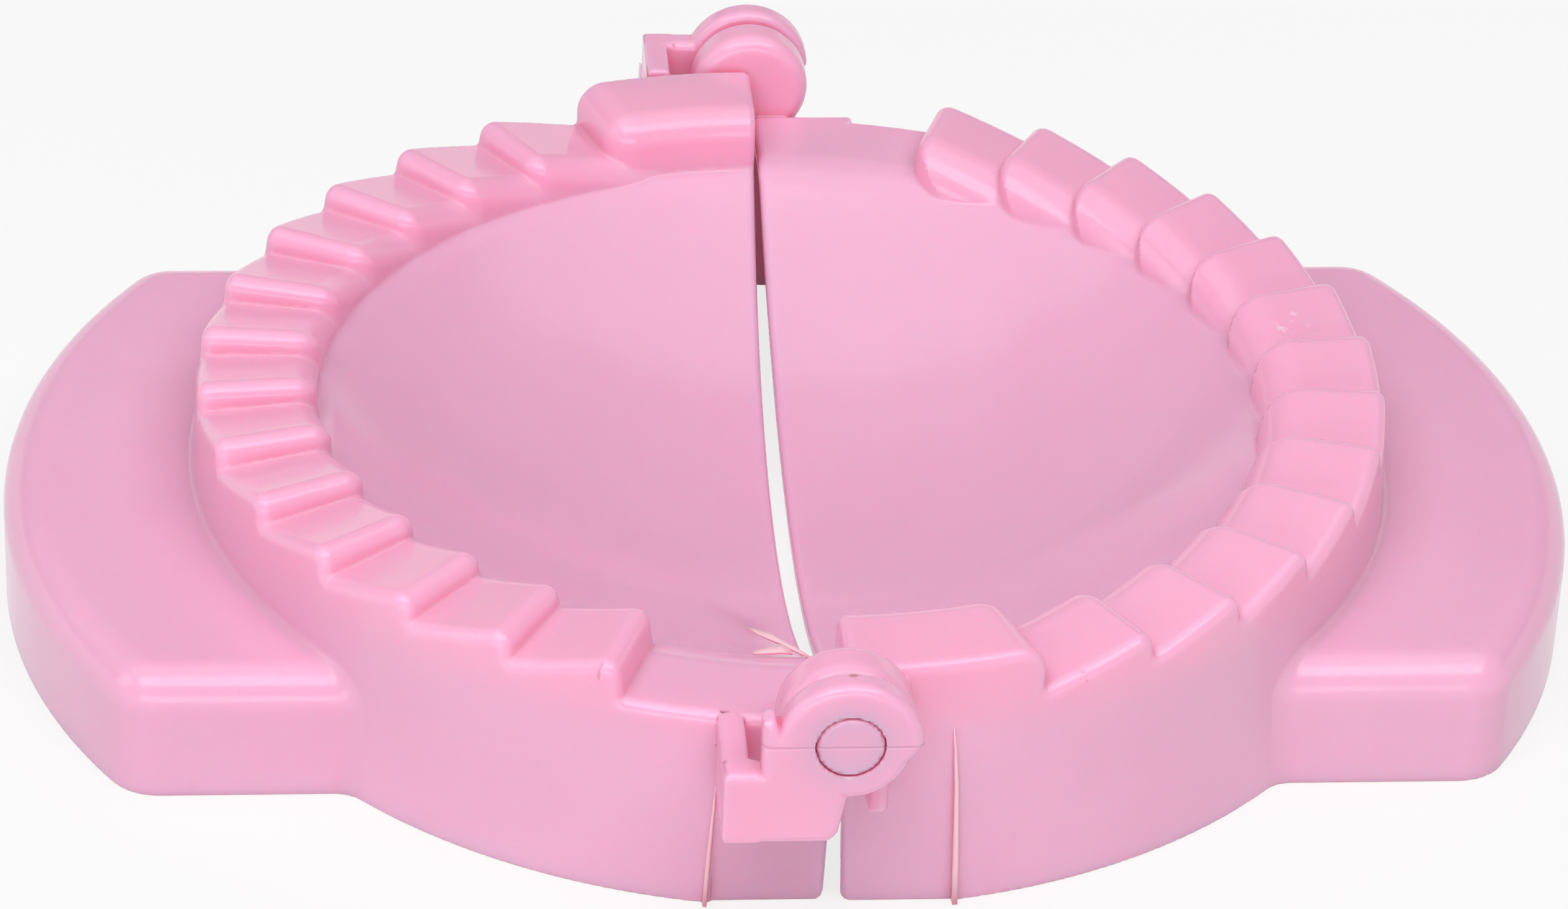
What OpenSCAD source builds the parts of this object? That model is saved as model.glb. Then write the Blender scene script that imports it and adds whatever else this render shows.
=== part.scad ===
// Empanada press, lying open: two plastic mouldings that fold shut about one hinge line.
// X runs across the two grips, Y along the hinge line and Z up, in millimetres.
// The origin is on the table, under the middle of the open dish.

/* [Dish] */
// Radius of the dish's mouth, inside the toothed rim
mouth_r = 46; // [43:0.5:48]
// Height of the dish's lowest point above the table
floor_z = 2.2; // [2:0.1:6]
// Thickness of the dish
dish_t = 1.8; // [1.4:0.1:2]
// Gap between the straight edges of the two halves at the rim, when the press lies open
split_gap = 0.4; // [0.3:0.05:0.8]
// The same gap down at the table
foot_gap = 1.5; // [0.6:0.1:2.4]

/* [Toothed rim] */
// Width of the rim, from the dish's mouth to the outer wall
rim_w = 10.7; // [9:0.1:12]
// Height of the rim's plain flat above the table
flat_z = 19.5; // [18:0.5:24]
// Thickness of the rim's plate
rim_t = 2; // [1.6:0.1:2.6]
// Number of teeth on each half
teeth = 13; // [9:1:16]
// Angle that the teeth of one half cover, in degrees
tooth_span = 140.4; // [132:0.4:146]
// Height of a tooth's crest above the flat
tip_h = 3.8; // [3.2:0.1:4.4]
// Height of the raised block above the flat
block_h = 5.4; // [5:0.1:6.4]
// Gap between the flat and the block when the press is shut
close_gap = 0.2; // [0.1:0.05:0.4]
// Gap left for the dough between the teeth when the press is shut
crimp_gap = 0.6; // [0.4:0.1:1]
// Sideways run of a tooth's steep face, from its crest to its root
steep_run = 0.4; // [0.2:0.05:0.5]
// Angle kept free between the steep faces of meshed teeth, in degrees
mesh_clear = 0.8; // [0.7:0.1:1.4]

/* [Outer wall] */
// Thickness of the outer wall
wall_t = 2; // [1.6:0.1:2.6]
// How much wider the wall is at its foot than at the rim
foot_flare = 1; // [0.4:0.1:1.6]

/* [Grips] */
// How far a grip reaches out from the rim
grip_reach = 18.3; // [14:0.1:24]
// Length of a grip along the hinge line's direction
grip_len = 77.8; // [64:0.2:86]
// Radius of a grip's curved outer edge
grip_r = 66.5; // [58:0.5:80]
// Height of a grip
grip_h = 12.6; // [10:0.1:15]
// Radius of a grip's upright corners
grip_corner_r = 5.3; // [4.8:0.1:8]
// Radius of the rounding round a grip's top
grip_edge_r = 3.6; // [2.6:0.1:4.4]
// Thickness of a grip's top and sides
grip_t = 2; // [1.6:0.1:2.4]

/* [Hinge] */
// Radius of the stub pins
pin_r = 3; // [2.5:0.1:3.6]
// Running clearance round a pin, on the radius
pin_clear = 0.08; // [0.03:0.01:0.1]
// Outer radius of the eyes and knuckles
eye_r = 6.4; // [5.8:0.1:7]
// Radius of an eye below its parting line
eye_low_r = 5.4; // [5.2:0.1:5.8]
// Width of an eye along the hinge line
eye_w = 3; // [2.4:0.1:4]
// Width of a knuckle along the hinge line
knuckle_w = 5; // [4:0.1:6]
// Side clearance on each side of a knuckle
side_clear = 0.25; // [0.15:0.05:0.4]
// How far the hinge pads stand proud of the rim
pad_proud = 0.3; // [0.25:0.05:0.8]
// Half the width of a hinge pad, and reach of a bracket from the hinge line
pad_half_w = 10.8; // [10.4:0.1:13]
// Thickness of a bracket's side web
web_t = 2.4; // [1.8:0.1:2.8]
// Depth of a bracket below the hinge line
bracket_drop = 10; // [8.5:0.1:11]
// Distance from the hinge line to a front eye's shoulder
shoulder_x = 7.6; // [7.2:0.1:8.4]
// Distance from the hinge line to the end of a bracket's lower edge
heel_x = 1.5; // [0.8:0.1:3]
// Thickness of the rib under a knuckle
rib_t = 1.8; // [1.4:0.1:2.2]
// Distance from the hinge line to the rib
rib_x = 2.2; // [1.4:0.1:2.8]
// Depth of the rib below the hinge line
rib_drop = 9.6; // [8:0.1:11]

/* [Hidden] */
$fn = 96;
PINK = [0.94, 0.67, 0.79];

// Heights
block_z = flat_z + block_h;
under_z = flat_z - rim_t;
hinge_z = flat_z + (block_h + close_gap) / 2;
root_h = block_h + close_gap - crimp_gap - tip_h;

// Radii
rim_r = mouth_r + rim_w;
foot_r = rim_r + foot_flare;
dish_depth = flat_z - floor_z;
dish_r = (mouth_r * mouth_r + dish_depth * dish_depth) / (2 * dish_depth);

// Hinge pads and the faces along the hinge line
right_pad_y = rim_r + pad_proud;
left_pad_y = right_pad_y - side_clear;
knuckle_y = right_pad_y + knuckle_w;
eye_y = knuckle_y + side_clear;
eye_face_y = eye_y + eye_w;

// Teeth
tooth_pitch = tooth_span / teeth;
first_tip = tooth_span / 2 - mesh_clear / 2;
block_end = tooth_span / 2 + mesh_clear;

// Grip outline: a big arc whose ends are rounded into two straight ends
grip_x = rim_r + grip_reach - grip_r;
corner_y = grip_len / 2 - grip_corner_r;
corner_x = grip_x + sqrt(pow(grip_r - grip_corner_r, 2) - corner_y * corner_y);
corner_a = atan2(corner_y, corner_x - grip_x);

big = 200;
eps = 1;

// Keeps what lies on the +X side of the split, whose faces part a little towards the table
module right_of_split() {
    intersection() {
        children();
        rotate([90, 0, 0]) linear_extrude(height = 2 * big, center = true)
            polygon([
                [split_gap / 2, flat_z], [foot_gap / 2, 0], [foot_gap / 2, -big],
                [big, -big], [big, big], [split_gap / 2, big]
            ]);
    }
}

module half_turn() {
    rotate([0, 0, 180]) children();
}

// Solid cone of the outer wall, drawn in by t, from below the table up to height z
module wall_cone(t, z) {
    slope = foot_flare / flat_z;
    translate([0, 0, -eps])
        cylinder(r1 = foot_r - t + eps * slope, r2 = foot_r - t - z * slope, h = z + eps);
}

// Slabs across both ends of the hinge line, between two distances from the middle
module end_slabs(y_in, y_out, z_low, z_high) {
    for (y = [y_in, -y_out])
        translate([-pad_half_w, y, z_low]) cube([2 * pad_half_w, y_out - y_in, z_high - z_low]);
}

// Dish: a shell between two spheres with one centre
module bowl() {
    right_of_split() difference() {
        intersection() {
            cylinder(r = mouth_r, h = flat_z);
            translate([0, 0, floor_z + dish_r]) sphere(r = dish_r + dish_t);
        }
        translate([0, 0, floor_z + dish_r]) sphere(r = dish_r);
    }
}

// One tooth, its crest along +X: the ramp falls clockwise and the steep face looks the other way.
// Its ramp runs on under the next tooth's crest.
module tooth() {
    mid_w = (mouth_r + rim_w / 2) * sin(tooth_pitch);
    slope = (tip_h - root_h) / mid_w;
    ramp_w = 1.2 * mid_w;
    foot_h = rim_t / 2;
    foot_w = steep_run * (tip_h + foot_h) / (tip_h - root_h);
    translate([mouth_r - rim_w, 0, flat_z]) rotate([90, 0, 90]) linear_extrude(height = 3 * rim_w)
        polygon([[-ramp_w, -foot_h], [-ramp_w, tip_h - slope * ramp_w], [0, tip_h], [foot_w, -foot_h]]);
}

// Wedge that holds the raised block: the rim's last stretch before the front hinge
module block() {
    translate([0, 0, flat_z - rim_t / 2]) linear_extrude(height = block_h + rim_t)
        polygon([[-eps, 0], [0, 0], [big * cos(block_end), -big * sin(block_end)], [-eps, -big]]);
}

// Rim seen from above, with a flat pad at each end of the hinge line
module rim_plan(pad_y) {
    pad_in_y = rim_r - 2 * wall_t;
    difference() {
        union() {
            circle(r = rim_r);
            for (y = [pad_in_y, -pad_y])
                translate([-pad_half_w, y]) square([2 * pad_half_w, pad_y - pad_in_y]);
        }
        circle(r = mouth_r);
    }
}

// Rim: a flat plate, the teeth, and the raised block beside the front hinge
module crimp_rim(pad_y) {
    right_of_split() intersection() {
        translate([0, 0, under_z]) linear_extrude(height = block_z - under_z) rim_plan(pad_y);
        union() {
            translate([-big / 2, -big / 2, under_z - eps]) cube([big, big, rim_t + eps]);
            for (i = [0 : teeth - 1]) rotate([0, 0, first_tip - i * tooth_pitch]) tooth();
            block();
        }
    }
}

// Outer wall: half a flared ring with a flat pad for each end of the hinge
module outer_wall(pad_y) {
    right_of_split() difference() {
        union() {
            difference() {
                wall_cone(0, under_z);
                wall_cone(wall_t, under_z + eps);
            }
            end_slabs(pad_y - wall_t, pad_y, 0, under_z);
        }
        end_slabs(pad_y, pad_y + 2 * rim_w, -2 * eps, under_z + eps);
        translate([-big / 2, -big / 2, -big]) cube([big, big, big]);
    }
}

// What a rounded top edge cuts off a section: the corner at distance r and height h, rounding f
module edge_waste(side, r, h, f) {
    difference() {
        translate([side > 0 ? r - f : -r - f, h - f]) square(2 * f);
        translate([side * (r - f), h - f]) circle(r = f);
    }
}

// Section from the middle out to one rounded top edge
module half_section(r, h, f) {
    difference() {
        square([r, h]);
        edge_waste(1, r, h, f);
    }
}

// Section across a bar with two rounded top edges
module bar_section(r, h, f) {
    difference() {
        translate([-r, 0]) square([2 * r, h]);
        for (side = [-1, 1]) edge_waste(side, r, h, f);
    }
}

// Bar along +X from the middle of the dish, as wide as a grip is long, drawn in by t
module grip_bar(t, h, reach) {
    translate([mouth_r / 2, 0, 0]) rotate([90, 0, 90])
        linear_extrude(height = reach - mouth_r / 2) bar_section(grip_len / 2 - t, h, grip_edge_r - t);
}

// Outer form of a grip, solid: the bar, the curved outer edge and the two upright corners
module grip_form() {
    grip_bar(0, grip_h, corner_x);
    translate([grip_x, 0, 0]) rotate([0, 0, -corner_a])
        rotate_extrude(angle = 2 * corner_a) half_section(grip_r, grip_h, grip_edge_r);
    for (way = [-1, 1])
        translate([corner_x, way * corner_y, 0]) rotate([0, 0, way > 0 ? corner_a : -90])
            rotate_extrude(angle = 90 - corner_a) half_section(grip_corner_r, grip_h, grip_edge_r);
}

// Hollow of a grip, open below
module grip_hollow() {
    h = grip_h - grip_t + eps;
    translate([0, 0, -eps]) intersection() {
        translate([grip_x, 0, 0]) rotate_extrude() half_section(grip_r - grip_t, h, grip_edge_r - grip_t);
        grip_bar(grip_t, h, rim_r + grip_reach);
    }
}

// Grip: a cap that is open below, on the outside of the wall
module grip() {
    difference() {
        grip_form();
        grip_hollow();
        wall_cone(0, flat_z);
    }
}

// Outline of a bracket with its eye, seen along the hinge line, with the hinge line at the origin
module bracket_outline(top, step_x) {
    intersection() {
        circle(r = eye_r);
        translate([-big / 2, 0]) square([big, big]);
    }
    circle(r = eye_low_r);
    polygon([
        [-pad_half_w, -bracket_drop], [-heel_x, -bracket_drop], [-heel_x / 2, -bracket_drop + heel_x / 2],
        [0, -eye_low_r], [0, block_z - hinge_z], [-step_x, block_z - hinge_z],
        [-step_x, top - hinge_z], [-pad_half_w, top - hinge_z]
    ]);
}

// Bracket on the left half: a plate with the eye, and a web that ties it to the wall.
// It is drawn for the back of the press, and way = -1 mirrors it to the front.
module eye_bracket(way, top, step_x) {
    mirror([0, way > 0 ? 0 : 1, 0]) {
        difference() {
            translate([0, eye_face_y, hinge_z]) rotate([90, 0, 0])
                linear_extrude(height = eye_w) bracket_outline(top, step_x);
            translate([0, eye_face_y + eps, hinge_z]) rotate([90, 0, 0])
                cylinder(r = pin_r + pin_clear, h = eye_w + 2 * eps);
        }
        translate([-pad_half_w, left_pad_y, hinge_z - bracket_drop])
            cube([web_t, eye_y - left_pad_y, top - hinge_z + bracket_drop]);
    }
}

// Knuckle on the right half: a round boss with a rib under it
module knuckle(way) {
    mirror([0, way > 0 ? 0 : 1, 0]) {
        translate([0, knuckle_y, hinge_z]) rotate([90, 0, 0]) cylinder(r = eye_r, h = knuckle_w);
        translate([rib_x, right_pad_y, hinge_z - rib_drop]) cube([rib_t, knuckle_w, rib_drop]);
    }
}

// Stub pin on the end face of a knuckle, flush with the eye's outer face
module stub_pin(way) {
    translate([0, way > 0 ? eye_face_y : -knuckle_y, hinge_z]) rotate([90, 0, 0])
        cylinder(r = pin_r, h = eye_face_y - knuckle_y);
}

module left_bowl() { color(PINK) half_turn() bowl(); }
module left_crimp_rim() { color(PINK) half_turn() crimp_rim(left_pad_y); }
module left_outer_wall() { color(PINK) half_turn() outer_wall(left_pad_y); }
module left_grip() { color(PINK) half_turn() grip(); }
module left_front_eye_bracket() { color(PINK) eye_bracket(-1, flat_z, shoulder_x); }
module left_back_eye_bracket() { color(PINK) eye_bracket(1, block_z, shoulder_x); }
module right_bowl() { color(PINK) bowl(); }
module right_crimp_rim() { color(PINK) crimp_rim(right_pad_y); }
module right_outer_wall() { color(PINK) outer_wall(right_pad_y); }
module right_grip() { color(PINK) grip(); }
module right_front_knuckle() { color(PINK) knuckle(-1); }
module right_back_knuckle() { color(PINK) knuckle(1); }
module front_pin() { color(PINK) stub_pin(-1); }
module back_pin() { color(PINK) stub_pin(1); }

left_bowl();
left_crimp_rim();
left_outer_wall();
left_grip();
left_front_eye_bracket();
left_back_eye_bracket();
right_bowl();
right_crimp_rim();
right_outer_wall();
right_grip();
right_front_knuckle();
right_back_knuckle();
front_pin();
back_pin();
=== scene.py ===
import math

import bpy
import numpy as np
from mathutils import Matrix, Vector

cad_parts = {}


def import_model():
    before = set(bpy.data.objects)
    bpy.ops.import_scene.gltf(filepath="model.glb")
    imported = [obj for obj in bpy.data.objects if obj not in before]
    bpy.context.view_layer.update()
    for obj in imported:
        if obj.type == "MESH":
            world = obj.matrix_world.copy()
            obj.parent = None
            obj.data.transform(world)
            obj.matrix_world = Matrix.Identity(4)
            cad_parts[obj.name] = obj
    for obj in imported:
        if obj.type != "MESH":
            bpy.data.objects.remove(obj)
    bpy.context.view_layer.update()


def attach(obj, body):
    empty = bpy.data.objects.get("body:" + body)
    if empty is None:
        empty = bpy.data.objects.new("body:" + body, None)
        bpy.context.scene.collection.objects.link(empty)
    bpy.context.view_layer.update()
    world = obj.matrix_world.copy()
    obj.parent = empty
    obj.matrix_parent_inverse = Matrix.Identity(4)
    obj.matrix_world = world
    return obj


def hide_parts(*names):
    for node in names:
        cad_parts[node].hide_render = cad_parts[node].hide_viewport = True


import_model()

MM = 0.001

# Dimensions of the press, the same as in the part's source, in millimetres
MOUTH_R = 46.0
FLOOR_Z = 2.2
DISH_T = 1.8
RIM_R = 56.7
FLAT_Z = 19.5
UNDER_Z = 17.5
TEETH = 13
TOOTH_SPAN = 140.4
TIP_H = 3.8
ROOT_H = 1.2
BLOCK_H = 5.4
STEEP_RUN = 0.4
MESH_CLEAR = 0.8
WALL_T = 2.0
FOOT_FLARE = 1.0
GRIP_REACH = 18.3
GRIP_LEN = 77.8
GRIP_R = 66.5
GRIP_H = 12.6
GRIP_CORNER_R = 5.3
GRIP_EDGE_R = 3.6
GRIP_T = 2.0
HINGE_Z = 22.3
PIN_R = 3.0
EYE_R = 6.4
EYE_LOW_R = 5.4
PAD_HALF_W = 10.8
RIGHT_PAD_Y = 57.0
LEFT_PAD_Y = 56.75
KNUCKLE_Y = 62.0
EYE_Y = 62.25
EYE_FACE_Y = 65.25
WEB_T = 2.4
BRACKET_DROP = 10.0
SHOULDER_X = 7.6
HEEL_X = 1.5
RIB_T = 1.8
RIB_X = 2.2
RIB_DROP = 9.6
SPLIT_GAP = 0.4
FOOT_GAP = 1.5

# The gap round a pin at the eye's face, and the closer fit behind it
PIN_GAP = 0.16
PIN_STEP = 0.2
PIN_CLEAR = 0.05
GAP_DEPTH = 0.3
GAP_RUN = 0.15

# Edges and fillets that the solids leave out
PIN_EDGE = 0.15
BORE_EDGE = 0.1
EYE_EDGE = 0.9
BOSS_EDGE = 1.6
WEB_EDGE = 0.6
WEB_FILLET = 0.4
RIB_FILLET = 0.5
KNUCKLE_FILLET = 0.4
BRACKET_FILLET = 0.35
TOOTH_FILLET = 0.2
BLOCK_FILLET = 0.35
GRIP_FILLET = 0.9
HOLLOW_EDGE = 0.6
PAD_CORNER_R = 4.0
LIP_EDGE = 0.12
UNDER_WALL_EDGE = 0.8
UNDER_DISH_EDGE = 1.2
UNDER_PAD_EDGE = 0.5
SHELL_EDGE = 0.25
FOOT_EDGE = 0.3

# How far the round outlines of an eye and a knuckle hang below the hinge line
EYE_DROP = 0.3
EYE_RUN = 1.6
BOSS_DROP = 0.35

# How deep parts are rooted in what carries them, and a ridge's half width at its top
TOOTH_SINK = 2.0
GRIP_SINK = 1.0
ROOT_SINK = 1.0
ROOT_INSET = 0.5
WEB_SINK = 0.5
JOIN_SINK = 1.6
JOIN_REACH = 1.5
JOIN_DROP = 3.0
RIDGE_SINK = 0.5
RIDGE_TAPER = 0.4

# The tab on the front eye's shoulder, wider at its foot
TAB_W = 1.0
TAB_FOOT_W = 1.6
HAIR = 0.01

# The proud lip that runs out upwards on each hinge pad
LIP = 0.5
LIP_TOP = 16.5
LIP_RUN = 7.0

CELL = 0.36
MOST_TRIANGLES = 190000
LEFT_SPACE = ((-76, -66.5, -1), (8, 66.5, 30))
RIGHT_SPACE = ((-8, -66.5, -1), (76, 66.5, 30))

# Hinge parts lie beyond the first along Y, and the walls within the second
HINGE_ZONE = 52.0
BEFORE_WALL_Y = 64.0

# Marks on the plastic, as places and sizes on the press
SCUFFS = (((50.0, 8.0, 22.3), 3.0), ((54.2, 8.5, 22.3), 1.8))
SPOT = (0.1, -63.0, 28.35)
CREST_LOW = 21.5
CREST_HIGH = 23.0
LINE_INNER = 0.05
LINE_OUTER = 0.2
# Painted shade: how far, in millimetres, the occlusion test looks for the crevices and recesses whose
# colour is darkened
PAINTED_SHADE_REACH = 3.0

# The plastic's colours and how light spreads in it; its depth and bump heights are in metres
PINK = ((0.925, 0.412, 0.6, 1), (0.955, 0.442, 0.625, 1))
PALE = ((0.95, 0.54, 0.63, 1), (0.97, 0.64, 0.7, 1))
WORN_COLOUR = (0.95, 0.72, 0.82, 1)
SPOT_COLOUR = (0.32, 0.12, 0.09, 1)
# The next colour is painted shade: a darker, deeper pink put into crevices and recesses in place of their
# shade and of the light bounced inside them
PAINTED_SHADE_COLOUR = (0.98, 0.27, 0.42, 1)
SOFTNESS = 0.6
SOFT_RADIUS = (1.6, 0.32, 0.45)
SOFT_DEPTH = 0.0045
WAVE_HEIGHT = 0.00025
GRAIN_HEIGHT = 0.000006

# The picture's width in pixels, and the camera's sensor and near and far limits
FRAME_WIDTH = 2520
SENSOR = 36.0
CLIP = (0.01, 20.0)

# Studio, in metres: the floor's reach and how much of its white is its own
FLOOR_REACH = 3.0
FLOOR_COLOUR = (0.8, 0.8, 0.8, 1)
FLOOR_GLOW = 0.8
WHITE = (1, 1, 1, 1)
HORIZON = (0.19, 0.26)

# Roundings of each half: the left is crisper than the right
CRISP = {"end": 2.4, "crest": 1.7, "valley": 0.3, "reach": 0.8, "outer": 1.1,
         "mouth": 2.0, "block": 3.0, "split": 0.8, "step": 0.0}
SOFT = {"end": 4.6, "crest": 1.7, "valley": 0.3, "reach": 1.5, "outer": 1.1,
        "mouth": 1.6, "block": 3.0, "split": 0.9, "step": 0.6}

# Values worked out from those above
BLOCK_Z = FLAT_Z + BLOCK_H
FOOT_R = RIM_R + FOOT_FLARE
DISH_DEPTH = FLAT_Z - FLOOR_Z
DISH_R = (MOUTH_R**2 + DISH_DEPTH**2) / (2 * DISH_DEPTH)
DISH_Z = FLOOR_Z + DISH_R
FLARE = FOOT_FLARE / FLAT_Z
PITCH = TOOTH_SPAN / TEETH
FIRST_TIP = TOOTH_SPAN / 2 - MESH_CLEAR / 2
BLOCK_END = math.radians(TOOTH_SPAN / 2 + MESH_CLEAR)
RAMP = (TIP_H - ROOT_H) / ((MOUTH_R + RIM_R) / 2 * math.sin(math.radians(PITCH)))
GRIP_X = RIM_R + GRIP_REACH - GRIP_R
GRIP_CORNER_Y = GRIP_LEN / 2 - GRIP_CORNER_R
GRIP_CORNER_X = GRIP_X + math.sqrt((GRIP_R - GRIP_CORNER_R) ** 2 - GRIP_CORNER_Y**2)
GRIP_CORNER_A = math.atan2(GRIP_CORNER_Y, GRIP_CORNER_X - GRIP_X)

# A distance beyond any that is compared
FAR = 50.0

# Area lights: name, place, point aimed at, size, power, and whether they show in reflections
LIGHTS = (
    ("overhead_back", (0.0, 0.055, 0.8), (0.0, 0.055, 0), (1.3, 0.51), 1.9, True),
    ("overhead_front", (0.0, -0.455, 0.8), (0.0, -0.455, 0), (1.3, 0.51), 6.3, True),
    ("front", (-0.4, -0.7, 0.75), (0, 0, 0.02), (0.7, 0.5), 0.4, True),
    ("front_low", (-0.2, -1.0, 0.2), (0, 0, 0.02), (1.0, 0.3), 2.0, True),
    ("left", (-0.9, -0.1, 0.5), (0, 0, 0.02), (0.5, 0.5), 1.1, True),
    ("overhead_fill", (0.0, -0.455, 0.8), (0.0, -0.455, 0), (1.3, 0.51), 4.3, False),
    ("back_low", (0.2, 1.0, 0.25), (0, 0, 0.02), (1.0, 0.4), 2.0, False),
)


def fillet(a, b, r):
    """Distance to two forms joined, with a fillet of radius r where they meet."""
    corner = np.hypot(np.maximum(r - a, 0), np.maximum(r - b, 0))
    return np.maximum(np.minimum(a, b), r) - corner


def rounded(a, b, r):
    """Distance to what two forms share, its new edge rounded to radius r."""
    corner = np.hypot(np.maximum(r + a, 0), np.maximum(r + b, 0))
    return np.minimum(np.maximum(a, b), -r) + corner


def slab(v, low, high):
    """Signed distance from v to the range between low and high."""
    return np.abs(v - (low + high) / 2) - (high - low) / 2


def polygon(u, v, points):
    """Signed distance from (u, v) to a closed polygon."""
    near = np.full(u.shape, FAR * FAR, u.dtype)
    sign = np.ones(u.shape, u.dtype)
    for (ax, ay), (bx, by) in zip(points, points[1:] + points[:1]):
        ex, ey = bx - ax, by - ay
        wx, wy = u - ax, v - ay
        t = np.clip((wx * ex + wy * ey) / (ex * ex + ey * ey), 0, 1)
        near = np.minimum(near, (wx - ex * t) ** 2 + (wy - ey * t) ** 2)
        above, below, left = v >= ay, v < by, ex * wy > ey * wx
        flip = (above & below & left) | (~above & ~below & ~left)
        sign = np.where(flip, -sign, sign)
    return sign * np.sqrt(near)


def teeth_form(r, angle, up, ring, look):
    """The row of teeth: each has a ramp that falls clockwise and a steep face on its other side."""
    foot_h = 1.0
    foot_w = STEEP_RUN * (TIP_H + foot_h) / (TIP_H - ROOT_H)
    first = np.floor((FIRST_TIP - angle) / PITCH)
    form = np.full(r.shape, FAR, r.dtype)
    for step in (-1, 0, 1):
        number = first + step
        off = np.radians(angle - FIRST_TIP + number * PITCH)
        side = r * np.sin(off)
        ramp = (up - TIP_H - RAMP * side) / math.hypot(1, RAMP)
        steep = (side * (TIP_H + foot_h) + (up - TIP_H) * foot_w) / math.hypot(TIP_H + foot_h, foot_w)
        tooth = rounded(rounded(steep, ramp, look["crest"]), ring, look["end"])
        tooth = np.where((number >= 0) & (number < TEETH), tooth, FAR)
        form = fillet(form, tooth, look["valley"])
    return form


def grip_forms(x, y, z, cone):
    """A grip's outer form and its hollow."""
    arc = np.hypot(x - GRIP_X, y)
    side = np.abs(y)
    plan = np.maximum(side - GRIP_CORNER_Y, arc - (GRIP_R - GRIP_CORNER_R))
    at_corner = (x > GRIP_CORNER_X) & (np.arctan2(side, x - GRIP_X) > GRIP_CORNER_A)
    plan = np.where(at_corner, np.hypot(x - GRIP_CORNER_X, side - GRIP_CORNER_Y), plan) - GRIP_CORNER_R
    grip = rounded(plan, z - GRIP_H, GRIP_EDGE_R)
    grip = np.maximum(grip, -GRIP_SINK - cone)
    hollow = rounded(plan + GRIP_T, z - GRIP_H + GRIP_T, GRIP_EDGE_R - GRIP_T)
    return grip, rounded(hollow, -cone, HOLLOW_EDGE)


def half_form(x, y, z, pad_y, look):
    """Half of the press without its hinge parts, on the +X side of the split."""
    r = np.hypot(x, y)
    angle = np.degrees(np.arctan2(y, x))
    up = z - FLAT_Z
    cone = (r - FOOT_R + FLARE * z) / math.hypot(1, FLARE)
    side_x, side_y = np.abs(x), np.abs(y)
    in_pad = side_x - PAD_HALF_W
    corner_y = pad_y - look["step"] * (y > 0)
    turn = np.arctan2(PAD_HALF_W, corner_y) + np.arccos(RIM_R / np.hypot(PAD_HALF_W, corner_y))
    flank = side_x * np.sin(turn) + side_y * np.cos(turn) - RIM_R
    wing = rounded(side_y - corner_y, flank, PAD_CORNER_R)
    wing = np.maximum(wing, side_x - RIM_R * np.sin(turn))
    pad = np.where(corner_y < pad_y, np.minimum(wing, np.maximum(side_y - pad_y, in_pad)), wing)
    lip = LIP * np.clip((LIP_TOP - z) / LIP_RUN, 0, 1)
    beyond = np.maximum(in_pad, pad_y - lip - side_y)
    outer = rounded(np.minimum(cone, pad), -beyond, LIP_EDGE)

    ball = np.hypot(r, z - DISH_Z) - DISH_R
    top = rounded(up, -ball, look["mouth"])
    row = teeth_form(r, angle, up, MOUTH_R - look["reach"] - r, look)
    top = fillet(top, np.maximum(row, -up - TOOTH_SINK), TOOTH_FILLET)
    across = math.cos(BLOCK_END) * y + math.sin(BLOCK_END) * x
    block = rounded(rounded(across, MOUTH_R - r, look["block"]), up - BLOCK_H, look["block"])
    top = fillet(top, np.maximum(block, -up - TOOTH_SINK), BLOCK_FILLET)
    body = rounded(outer, top, look["outer"])

    grip, grip_hollow = grip_forms(x, y, z, cone)
    body = fillet(body, grip, GRIP_FILLET)
    under = rounded(z - UNDER_Z, cone + WALL_T, UNDER_WALL_EDGE)
    under = rounded(under, DISH_T - ball, UNDER_DISH_EDGE)
    under = rounded(under, -np.maximum(in_pad, pad_y - WALL_T - side_y), UNDER_PAD_EDGE)
    body = rounded(body, -under, SHELL_EDGE)
    body = rounded(body, -grip_hollow, SHELL_EDGE)
    body = rounded(body, -z, FOOT_EDGE)
    lean = (FOOT_GAP - SPLIT_GAP) / 2 / FLAT_Z
    face = (SPLIT_GAP / 2 + lean * np.maximum(FLAT_Z - z, 0) - x) / math.hypot(1, lean)
    return rounded(body, face, look["split"])


def right_wall(x, y, z):
    """The right half without its hinge parts."""
    return half_form(x, y, z, RIGHT_PAD_Y, SOFT)


def left_wall(x, y, z):
    """The left half without its hinge parts: the same form, turned half round."""
    return half_form(-x, -y, z, LEFT_PAD_Y, CRISP)


def near_face(v):
    """0 inside a hinge eye, 1 close to its outer face, where the gap round the pin shows."""
    return np.clip((v - EYE_FACE_Y + GAP_DEPTH) / GAP_RUN, 0, 1)


def knuckle_form(x, y, z, way, top):
    """A knuckle with the rib under it and its pin, on the right half, rooted in the wall below top."""
    v = way * y
    w = z - HINGE_Z
    from_axis = np.hypot(x, w)
    rib = np.maximum(slab(x, RIB_X, RIB_X + RIB_T), slab(w, -RIB_DROP, 0))
    profile = fillet(np.hypot(x, w + BOSS_DROP) - EYE_R + BOSS_DROP, rib, RIB_FILLET)
    boss = rounded(rounded(profile, v - KNUCKLE_Y, BOSS_EDGE), RIGHT_PAD_Y - v, BOSS_EDGE)
    root = slab(v, RIGHT_PAD_Y - ROOT_SINK, RIGHT_PAD_Y + BOSS_EDGE)
    root = np.maximum(root, z - top + ROOT_SINK)
    root = np.maximum(root, SPLIT_GAP / 2 + ROOT_INSET - x)
    boss = np.minimum(boss, np.maximum(profile, root))
    stub = from_axis - PIN_R + PIN_STEP * near_face(v)
    pin = rounded(stub, slab(v, KNUCKLE_Y - ROOT_SINK, EYE_FACE_Y), PIN_EDGE)
    return np.minimum(boss, pin)


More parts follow.
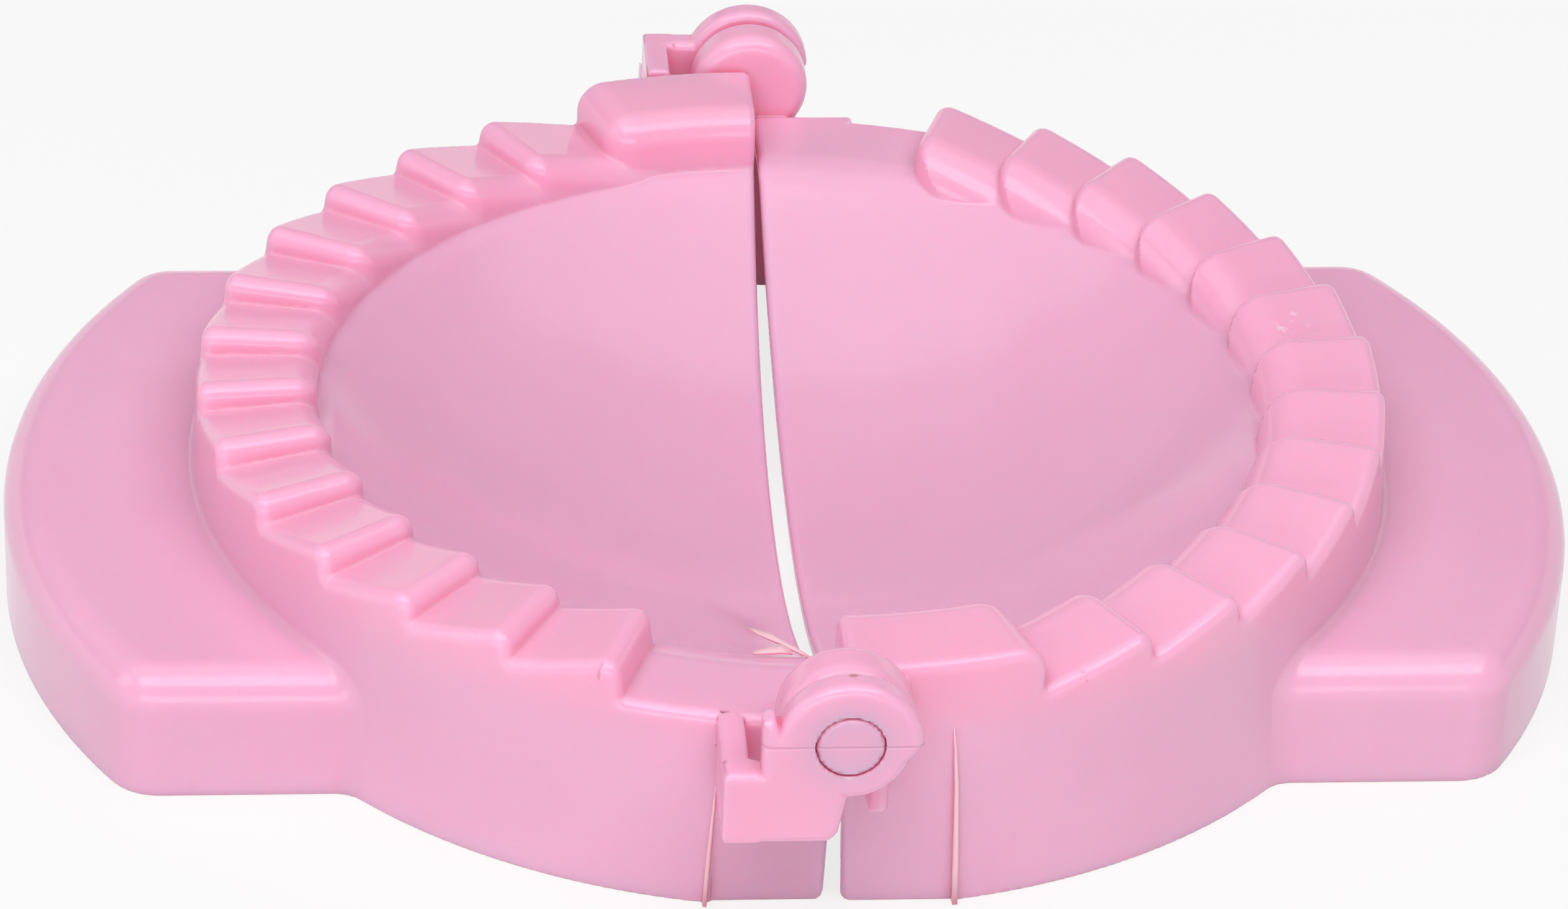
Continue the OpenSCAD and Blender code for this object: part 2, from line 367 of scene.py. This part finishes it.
def bracket_form(x, y, z, way, top):
    """An eye on its plate, with the web that ties it to the wall, on the left half."""
    v = way * y
    w = z - HINGE_Z
    from_axis = np.hypot(x, w)
    high = BLOCK_Z - HINGE_Z
    if top < BLOCK_Z:
        shoulder = [
            (0.0, high / 2), (TAB_FOOT_W - SHOULDER_X, high / 2), (TAB_W - SHOULDER_X, high),
            (-SHOULDER_X, high), (-SHOULDER_X, top - HINGE_Z - HAIR),
        ]
    else:
        shoulder = [(0.0, high)]
    shape = polygon(x, w, [
        (-PAD_HALF_W, -BRACKET_DROP), (-HEEL_X, -BRACKET_DROP), (-HEEL_X / 2, HEEL_X / 2 - BRACKET_DROP),
        (0.0, -EYE_LOW_R), *shoulder, (-PAD_HALF_W, top - HINGE_Z),
    ])
    full = np.clip(1 + w / EYE_RUN, 0, 1)
    eye = np.hypot(x, w + EYE_DROP * full) - EYE_LOW_R - (EYE_R - EYE_LOW_R) * full
    shape = np.minimum(shape, eye)
    plate = rounded(shape, slab(v, EYE_Y, EYE_FACE_Y), EYE_EDGE)
    bore = PIN_R + PIN_CLEAR + (PIN_GAP - PIN_STEP - PIN_CLEAR) * near_face(v)
    plate = rounded(plate, bore - from_axis, BORE_EDGE)
    web = np.maximum(slab(x, -PAD_HALF_W, -SHOULDER_X), slab(v, LEFT_PAD_Y - WEB_SINK, EYE_FACE_Y))
    web = np.maximum(web, fillet(x + PAD_HALF_W - WEB_T, EYE_Y - v, WEB_FILLET))
    web = rounded(web, slab(w, -BRACKET_DROP, top - HINGE_Z), WEB_EDGE)
    return np.minimum(plate, web)


def right_form(x, y, z):
    """Signed distance to the whole right half."""
    form = right_wall(x, y, z)
    for way, top in ((-1, BLOCK_Z), (1, FLAT_Z)):
        if (way * y).max() > HINGE_ZONE:
            form = fillet(form, knuckle_form(x, y, z, way, top), KNUCKLE_FILLET)
    return form


def left_form(x, y, z):
    """Signed distance to the whole left half."""
    form = left_wall(x, y, z)
    for way, top in ((-1, FLAT_Z), (1, BLOCK_Z)):
        if (way * y).max() > HINGE_ZONE:
            form = fillet(form, bracket_form(x, y, z, way, top), BRACKET_FILLET)
            if top < BLOCK_Z:
                join = np.maximum(slab(way * y, LEFT_PAD_Y - JOIN_SINK, LEFT_PAD_Y + JOIN_REACH), z - top)
                join = rounded(join, slab(x, -PAD_HALF_W, WEB_T - PAD_HALF_W), WEB_EDGE)
                form = np.minimum(form, np.maximum(join, top - JOIN_DROP - z))
    return form


def sample(form, low, high, step):
    """Distances on a grid, worked out in thin slabs across Y."""
    axes = [np.arange(a, b + step, step, dtype=np.float32) for a, b in zip(low, high)]
    field = np.empty([len(a) for a in axes], np.float32)
    thick = 8
    for j in range(0, len(axes[1]), thick):
        x, y, z = np.meshgrid(axes[0], axes[1][j:j + thick], axes[2], indexing="ij")
        field[:, j:j + thick] = form(x, y, z)
    return field


def surface_net(field, low, step):
    """Points and quads of the zero surface of a sampled field."""
    solid = field < 0
    count = np.zeros(np.array(field.shape) - 1, np.int8)
    for i in (0, 1):
        for j in (0, 1):
            for k in (0, 1):
                nx, ny, nz = count.shape
                count += solid[i:i + nx, j:j + ny, k:k + nz]
    active = (count > 0) & (count < 8)
    number = np.full(count.shape, -1, np.int64)
    total = int(active.sum())
    number[active] = np.arange(total)
    sums = np.zeros((total, 4))
    quads = []
    for axis in range(3):
        b, c = (axis + 1) % 3, (axis + 2) % 3
        first = [slice(1, -1)] * 3
        first[axis] = slice(None, -1)
        second = list(first)
        second[axis] = slice(1, None)
        d0, d1 = field[tuple(first)], field[tuple(second)]
        cross = (d0 < 0) != (d1 < 0)
        at = np.array(np.nonzero(cross))
        base = at + 1
        base[axis] -= 1
        part = d0[cross] / (d0[cross] - d1[cross])
        point = base.T.astype(float)
        point[:, axis] += part
        ring = []
        for ob, oc in ((-1, -1), (0, -1), (0, 0), (-1, 0)):
            cell = base.copy()
            cell[b] += ob
            cell[c] += oc
            ring.append(number[tuple(cell)])
        for cells in ring:
            for k in range(3):
                sums[:, k] += np.bincount(cells, point[:, k], total)
            sums[:, 3] += np.bincount(cells, minlength=total)
        faces = np.stack(ring, 1)
        inner = d0[cross] < 0
        faces[~inner] = faces[~inner][:, ::-1]
        quads.append(faces)
    points = sums[:, :3] / sums[:, 3:] * step + np.array(low)
    return points, np.concatenate(quads)


def slope_of(form, p, h=0.03):
    """Direction in which the distance grows, at each point."""
    parts = []
    for k in range(3):
        move = np.zeros(3)
        move[k] = h
        ahead, behind = p + move, p - move
        parts.append(form(*ahead.T) - form(*behind.T))
    g = np.stack(parts, 1) / (2 * h)
    return g / np.maximum(np.linalg.norm(g, axis=1, keepdims=True), 1e-6)


def settle(form, p, rounds, reach):
    """Moves points onto the zero surface."""
    for _ in range(rounds):
        p = p - slope_of(form, p) * np.clip(form(*p.T), -reach, reach)[:, None]
    return p


def mesh_of(name, points, faces):
    """A mesh from points and faces that all have the same number of corners."""
    mesh = bpy.data.meshes.new(name)
    mesh.vertices.add(len(points))
    mesh.vertices.foreach_set("co", points.astype(np.float32).ravel())
    corners = faces.shape[1]
    mesh.loops.add(faces.size)
    mesh.loops.foreach_set("vertex_index", faces.astype(np.int32).ravel())
    mesh.polygons.add(len(faces))
    mesh.polygons.foreach_set("loop_start", np.arange(0, faces.size, corners, dtype=np.int32))
    mesh.update(calc_edges=True)
    return mesh


def moulding(name, form, low, high, material):
    """One seamless half of the press as a mesh, from its distance field."""
    step = CELL
    points, quads = surface_net(sample(form, low, high, step), low, step)
    points = settle(form, points, rounds=2, reach=step / 2)
    mesh = mesh_of(name, points, quads)
    piece = bpy.data.objects.new(name, mesh)
    bpy.context.scene.collection.objects.link(piece)
    if 2 * len(quads) > MOST_TRIANGLES:
        thin = piece.modifiers.new("thin", "DECIMATE")
        thin.ratio = MOST_TRIANGLES / (2 * len(quads))
        seen = piece.evaluated_get(bpy.context.evaluated_depsgraph_get())
        fewer = bpy.data.meshes.new_from_object(seen)
        piece.modifiers.clear()
        piece.data = fewer
        fewer.name = name
        bpy.data.meshes.remove(mesh)
        mesh = fewer
        points = np.empty(len(mesh.vertices) * 3, np.float32)
        mesh.vertices.foreach_get("co", points)
        points = settle(form, points.reshape(-1, 3).astype(float), rounds=2, reach=step / 3)
    normals = slope_of(form, points)
    mesh.vertices.foreach_set("co", (points * MM).astype(np.float32).ravel())
    mesh.polygons.foreach_set("use_smooth", np.ones(len(mesh.polygons), bool))
    mesh.update()
    mesh.normals_split_custom_set_from_vertices(normals.astype(np.float32))
    mesh.materials.append(material)
    return piece


def on_wall(form, x, z, way, rounds=60):
    """Points on the outside of a half's wall, found from in front of it."""
    x, z = np.array(x, float), np.array(z, float)
    y = np.full(x.shape, way * BEFORE_WALL_Y)
    for _ in range(rounds):
        y = y - way * np.maximum(form(x, y, z), 0)
    return np.stack([x, y, z], 1)


def sliver(name, root, tip, half_root, half_tip, material):
    """A closed sliver of flash between two lines of points, with its half thickness at each."""
    root, tip = np.array(root, float), np.array(tip, float)
    along = np.gradient(root, axis=0)
    across = np.cross(along, tip - root)
    across /= np.linalg.norm(across, axis=1, keepdims=True)
    thick_root = np.array(half_root, float).reshape(-1, 1) * across
    thick_tip = np.array(half_tip, float).reshape(-1, 1) * across
    rows = np.stack([root - thick_root, tip - thick_tip, tip + thick_tip, root + thick_root], 1)
    faces = []
    for i in range(len(root) - 1):
        for j in range(4):
            k = (j + 1) % 4
            faces.append((4 * i + j, 4 * i + k, 4 * i + 4 + k, 4 * i + 4 + j))
    last = 4 * len(root) - 4
    faces.append((3, 2, 1, 0))
    faces.append((last, last + 1, last + 2, last + 3))
    mesh = mesh_of(name, rows.reshape(-1, 3) * MM, np.array(faces))
    mesh.materials.append(material)
    piece = bpy.data.objects.new(name, mesh)
    bpy.context.scene.collection.objects.link(piece)
    return piece


def ridge(name, form, x, z, proud, width, material):
    """A ridge of flash standing on the wall along a line of places."""
    foot = on_wall(form, x, z, -1)
    root, tip = foot.copy(), foot.copy()
    width = np.array(width)
    root[:, 1] += RIDGE_SINK
    tip[:, 1] -= proud
    return sliver(name, root, tip, width / 2, width * RIDGE_TAPER, material)


class Nodes:
    """Short ways to add nodes to a material."""

    def __init__(self, material):
        """Starts from the material's own shader, with places in the press's frame."""
        material.use_nodes = True
        self.tree = material.node_tree
        self.shader = self.tree.nodes["Principled BSDF"]
        self.place = self.tree.nodes.new("ShaderNodeTexCoord").outputs["Object"]

    def add(self, kind, **values):
        """A new node with its settings."""
        node = self.tree.nodes.new("ShaderNode" + kind)
        for key, value in values.items():
            setattr(node, key, value)
        return node

    def feed(self, node, name, value):
        """Links a socket to an input, or sets the input to a value."""
        if isinstance(value, bpy.types.NodeSocket):
            self.tree.links.new(value, node.inputs[name])
        else:
            node.inputs[name].default_value = value

    def noise(self, scale, detail=2.0, stretch=None, turn=0.0, roughness=0.5):
        """Noise over the press, drawn out along an axis where stretch is given."""
        place = self.place
        if stretch:
            turned = self.add("Mapping")
            self.feed(turned, "Vector", place)
            self.feed(turned, "Scale", stretch)
            self.feed(turned, "Rotation", (0, 0, turn))
            place = turned.outputs["Vector"]
        node = self.add("TexNoise")
        self.feed(node, "Vector", place)
        self.feed(node, "Scale", scale)
        self.feed(node, "Detail", detail)
        self.feed(node, "Roughness", roughness)
        return node.outputs["Fac"]

    def ramp(self, value, low, high, to_low=0.0, to_high=1.0):
        """A smooth step from to_low to to_high as the value goes from low to high."""
        node = self.add("MapRange", interpolation_type="SMOOTHSTEP")
        self.feed(node, "Value", value)
        self.feed(node, "From Min", low)
        self.feed(node, "From Max", high)
        self.feed(node, "To Min", to_low)
        self.feed(node, "To Max", to_high)
        return node.outputs["Result"]

    def math(self, operation, a, b=0.0):
        """A value worked out from one or two others."""
        node = self.add("Math", operation=operation)
        self.feed(node, 0, a)
        self.feed(node, 1, b)
        return node.outputs[0]

    def near(self, centre, inner, outer):
        """1 within inner of a point given in millimetres, 0 beyond outer."""
        node = self.add("VectorMath", operation="DISTANCE")
        self.feed(node, 0, self.place)
        self.feed(node, 1, [c * MM for c in centre])
        return self.ramp(node.outputs["Value"], inner * MM, outer * MM, 1.0, 0.0)

    def part(self, axis):
        """One coordinate of the place on the press."""
        node = self.add("SeparateXYZ")
        self.feed(node, "Vector", self.place)
        return node.outputs[axis]

    def mix(self, factor, a, b):
        """A colour between a and b."""
        node = self.add("Mix", data_type="RGBA")
        self.feed(node, "Factor", factor)
        self.feed(node, "A", a)
        self.feed(node, "B", b)
        return node.outputs["Result"]

    def bump(self, height, distance, below=None):
        """A surface normal from a height, over another bump where one is given."""
        node = self.add("Bump")
        self.feed(node, "Height", height)
        self.feed(node, "Strength", 1.0)
        self.feed(node, "Distance", distance)
        if below:
            self.feed(node, "Normal", below)
        return node.outputs["Normal"]


def plastic(name, low, high, softness):
    """Glossy soft plastic with a cloudy tint, faint flow waves, fine grain, a few scuffs, and painted
    shade: a darker, deeper pink in its crevices and recesses.
    """
    material = bpy.data.materials.new(name)
    n = Nodes(material)
    n.feed(n.shader, "Subsurface Weight", softness)
    n.feed(n.shader, "Subsurface Radius", SOFT_RADIUS)
    n.feed(n.shader, "Subsurface Scale", SOFT_DEPTH)

    cloud = n.noise(scale=28.0, detail=3.0)
    streak = n.noise(scale=60.0, stretch=(1.0, 0.25, 1.0), turn=0.3)
    tint = n.math("ADD", n.math("MULTIPLY", cloud, 0.7), n.math("MULTIPLY", streak, 0.3))
    colour = n.mix(n.ramp(tint, low=0.3, high=0.7), low, high)

    crest = n.ramp(n.part("Z"), CREST_LOW * MM, CREST_HIGH * MM)
    scratch = n.noise(scale=900.0, detail=4.0, stretch=(0.15, 1.0, 1.0), turn=0.5, roughness=0.7)
    scratch = n.ramp(scratch, low=0.69, high=0.74)
    worn = n.math("MULTIPLY", scratch, n.math("MULTIPLY", crest, 0.5))
    flaw = n.noise(scale=1300.0, detail=4.0, stretch=(0.45, 1.0, 1.0), turn=-0.5, roughness=0.7)
    flaw = n.ramp(flaw, low=0.57, high=0.64)
    for centre, reach in SCUFFS:
        mark = n.math("MULTIPLY", flaw, n.near(centre, inner=reach * 0.4, outer=reach))
        worn = n.math("MAXIMUM", worn, mark)
    colour = n.mix(n.math("MULTIPLY", worn, 0.6), colour, WORN_COLOUR)
    spot = n.math("MULTIPLY", n.near(SPOT, inner=0.2, outer=0.6), 0.65)
    colour = n.mix(spot, colour, SPOT_COLOUR)

    # Painted shade: crevices and recesses, found by ambient occlusion, are coloured a darker, deeper pink
    shade_occlusion = n.add("AmbientOcclusion", samples=4)
    n.feed(shade_occlusion, "Distance", PAINTED_SHADE_REACH * MM)
    painted_shade = n.ramp(shade_occlusion.outputs["AO"], low=0.15, high=0.65, to_low=0.75, to_high=0.0)
    colour = n.mix(painted_shade, colour, PAINTED_SHADE_COLOUR)
    n.feed(n.shader, "Base Color", colour)

    gloss = n.ramp(n.noise(scale=110.0, detail=4.0), low=0.3, high=0.7, to_low=0.12, to_high=0.19)
    n.feed(n.shader, "Roughness", n.math("ADD", gloss, n.math("MULTIPLY", worn, 0.3)))

    from_line = n.math("ABSOLUTE", n.math("SUBTRACT", n.part("Z"), HINGE_Z * MM))
    at_line = n.ramp(from_line, LINE_INNER * MM, LINE_OUTER * MM, to_low=1.0, to_high=0.0)
    on_face = n.ramp(n.math("ABSOLUTE", n.part("Y")), EYE_Y * MM, (EYE_Y + 1) * MM)
    line = n.math("MULTIPLY", n.math("MULTIPLY", at_line, on_face), 0.4)
    waves = n.bump(n.math("SUBTRACT", n.noise(scale=70.0, detail=1.0), line), WAVE_HEIGHT)
    grain = n.bump(n.noise(scale=1400.0), GRAIN_HEIGHT, waves)
    n.feed(n.shader, "Normal", grain)
    return material


def camera():
    """The photograph's view, fitted to the press: focal length in pixels, turns and place."""
    focal = 9125.6
    yaw, pitch, roll = 0.0992, 0.5406, -0.0448
    shift_x, shift_y, far = -0.0498, -10.6, 553.01
    turn = Matrix(((math.cos(yaw), -math.sin(yaw), 0), (math.sin(yaw), math.cos(yaw), 0), (0, 0, 1)))
    tip = Matrix(((1, 0, 0), (0, math.sin(pitch), math.cos(pitch)), (0, math.cos(pitch), -math.sin(pitch))))
    tilt = Matrix(((math.cos(roll), -math.sin(roll), 0), (math.sin(roll), math.cos(roll), 0), (0, 0, 1)))
    view = tilt @ tip @ turn
    place = -(view.transposed() @ Vector((shift_x, shift_y, far))) * MM
    axes = Matrix((view[0], view[1], -view[2])).transposed()
    data = bpy.data.cameras.new("camera")
    data.sensor_fit = "HORIZONTAL"
    data.sensor_width = SENSOR
    data.lens = focal / FRAME_WIDTH * SENSOR
    data.clip_start, data.clip_end = CLIP
    eye = bpy.data.objects.new("camera", data)
    bpy.context.scene.collection.objects.link(eye)
    eye.matrix_world = Matrix.Translation(place) @ axes.to_4x4()
    bpy.context.scene.camera = eye


def area_light(name, place, aim, size, power, mirrored):
    """A white rectangle of light that faces a point, and shows in reflections where mirrored."""
    data = bpy.data.lights.new(name, "AREA")
    data.shape = "RECTANGLE"
    data.size, data.size_y = size
    data.energy = power
    lamp = bpy.data.objects.new(name, data)
    bpy.context.scene.collection.objects.link(lamp)
    lamp.location = place
    lamp.rotation_euler = (Vector(aim) - Vector(place)).to_track_quat("-Z", "Y").to_euler()
    lamp.visible_glossy = mirrored


def pale_floor():
    """A white floor that keeps a faint shadow of the press."""
    corners = [(x * FLOOR_REACH, y * FLOOR_REACH, 0.0) for x, y in ((-1, -1), (1, -1), (1, 1), (-1, 1))]
    mesh = mesh_of("floor", np.array(corners), np.array([[0, 1, 2, 3]]))
    material = bpy.data.materials.new("floor")
    material.use_nodes = True
    nodes, links = material.node_tree.nodes, material.node_tree.links
    matt = nodes["Principled BSDF"]
    matt.inputs["Base Color"].default_value = FLOOR_COLOUR
    matt.inputs["Roughness"].default_value = 0.9
    glow = nodes.new("ShaderNodeEmission")
    glow.inputs["Color"].default_value = WHITE
    path = nodes.new("ShaderNodeLightPath")
    either = nodes.new("ShaderNodeMath")
    either.operation = "MAXIMUM"
    share = nodes.new("ShaderNodeMath")
    share.operation = "MULTIPLY"
    share.inputs[1].default_value = FLOOR_GLOW
    mix = nodes.new("ShaderNodeMixShader")
    links.new(path.outputs["Is Camera Ray"], either.inputs[0])
    links.new(path.outputs["Is Glossy Ray"], either.inputs[1])
    links.new(either.outputs[0], share.inputs[0])
    links.new(share.outputs[0], mix.inputs["Fac"])
    links.new(matt.outputs["BSDF"], mix.inputs[1])
    links.new(glow.outputs["Emission"], mix.inputs[2])
    links.new(mix.outputs["Shader"], nodes["Material Output"].inputs["Surface"])
    mesh.materials.append(material)
    piece = bpy.data.objects.new("floor", mesh)
    bpy.context.scene.collection.objects.link(piece)


def world():
    """A studio with a bright wall low down and a dim ceiling, plain white for the camera."""
    sky = bpy.data.worlds.new("world")
    bpy.context.scene.world = sky
    sky.use_nodes = True
    nodes, links = sky.node_tree.nodes, sky.node_tree.links
    place = nodes.new("ShaderNodeTexCoord")
    split = nodes.new("ShaderNodeSeparateXYZ")
    links.new(place.outputs["Generated"], split.inputs["Vector"])
    path = nodes.new("ShaderNodeLightPath")

    def band(low, high):
        """The strength low near the horizon, high above it."""
        node = nodes.new("ShaderNodeMapRange")
        node.interpolation_type = "SMOOTHSTEP"
        node.inputs["From Min"].default_value, node.inputs["From Max"].default_value = HORIZON
        node.inputs["To Min"].default_value = low
        node.inputs["To Max"].default_value = high
        links.new(split.outputs["Z"], node.inputs["Value"])
        return node.outputs["Result"]

    def choose(factor, a, b):
        """b where the factor is 1, a where it is 0."""
        node = nodes.new("ShaderNodeMix")
        links.new(factor, node.inputs["Factor"])
        links.new(a, node.inputs["A"])
        if isinstance(b, float):
            node.inputs["B"].default_value = b
        else:
            links.new(b, node.inputs["B"])
        return node.outputs["Result"]

    lighting = band(low=0.41, high=0.02)
    mirrored = band(low=0.9, high=0.22)
    strength = choose(path.outputs["Is Glossy Ray"], lighting, mirrored)
    strength = choose(path.outputs["Is Camera Ray"], strength, 1.0)
    studio = nodes["Background"]
    studio.inputs["Color"].default_value = WHITE
    links.new(strength, studio.inputs["Strength"])


bpy.context.scene.view_settings.view_transform = "Standard"
camera()
world()
pale_floor()
for light in LIGHTS:
    area_light(*light)

pink = plastic("pink_plastic", *PINK, softness=SOFTNESS)
pale = plastic("pale_flash", *PALE, softness=0.0)
left = moulding("left_moulding", left_form, *LEFT_SPACE, pink)
right = moulding("right_moulding", right_form, *RIGHT_SPACE, pink)
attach(left, "left_half")
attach(right, "right_half")
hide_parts("left_bowl", "left_crimp_rim", "left_outer_wall", "left_grip",
            "left_front_eye_bracket", "left_back_eye_bracket")
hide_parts("right_bowl", "right_crimp_rim", "right_outer_wall", "right_grip",
            "right_front_knuckle", "right_back_knuckle", "front_pin", "back_pin")

right_ridge = ridge(
    "right_flash_ridge", right_wall,
    x=[10.05, 10.25, 10.5, 10.65, 10.8, 10.9], z=[18.1, 16.0, 12.5, 8.5, 4.0, 0.15],
    proud=[0.1, 0.35, 0.6, 0.7, 0.8, 0.8], width=[0.12, 0.25, 0.38, 0.45, 0.55, 0.6], material=pale,
)
left_ridge = ridge(
    "left_flash_ridge", left_wall,
    x=[-10.7, -10.85, -11.05, -11.25, -11.4], z=[12.5, 10.0, 7.0, 3.5, 0.15],
    proud=[0.15, 0.35, 0.5, 0.65, 0.75], width=[0.1, 0.2, 0.3, 0.38, 0.45], material=pale,
)

fin_edge = ((58.5, 13.0), (60.0, 17.0), (60.8, 20.0), (60.5, 22.5), (59.8, 24.0), (58.0, 24.7))
back_fin = sliver(
    "left_back_flash_fin",
    root=[(-11.3, 55.2, z) for y, z in fin_edge],
    tip=[(-11.35, y, z) for y, z in fin_edge],
    half_root=[0.2] * 6, half_tip=[0.08] * 6, material=pink,
)
flake = sliver(
    "left_mouth_flash",
    root=[(-1.9, -46.2, 19.1), (-3.2, -45.3, 19.3), (-4.4, -44.3, 19.4), (-5.5, -43.4, 19.4),
          (-6.4, -42.7, 19.5), (-7.1, -41.9, 19.6)],
    tip=[(-1.8, -46.0, 19.1), (-3.0, -44.9, 19.4), (-4.2, -43.8, 19.5), (-5.3, -42.6, 19.6),
         (-6.3, -42.2, 19.6), (-7.1, -41.8, 19.6)],
    half_root=[0.06, 0.1, 0.1, 0.1, 0.08, 0.03], half_tip=[0.03, 0.06, 0.06, 0.06, 0.04, 0.02],
    material=pale,
)
chip = sliver(
    "left_mouth_flash_chip",
    root=[(-6.9, -45.6, 19.2), (-5.6, -45.7, 19.3), (-4.4, -45.6, 19.3), (-3.4, -45.6, 19.2)],
    tip=[(-6.9, -45.3, 19.4), (-5.5, -45.0, 19.5), (-4.4, -44.4, 19.5), (-3.5, -45.0, 19.3)],
    half_root=[0.1] * 4, half_tip=[0.05] * 4, material=pale,
)

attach(right_ridge, "right_half")
for piece in (left_ridge, back_fin, flake, chip):
    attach(piece, "left_half")
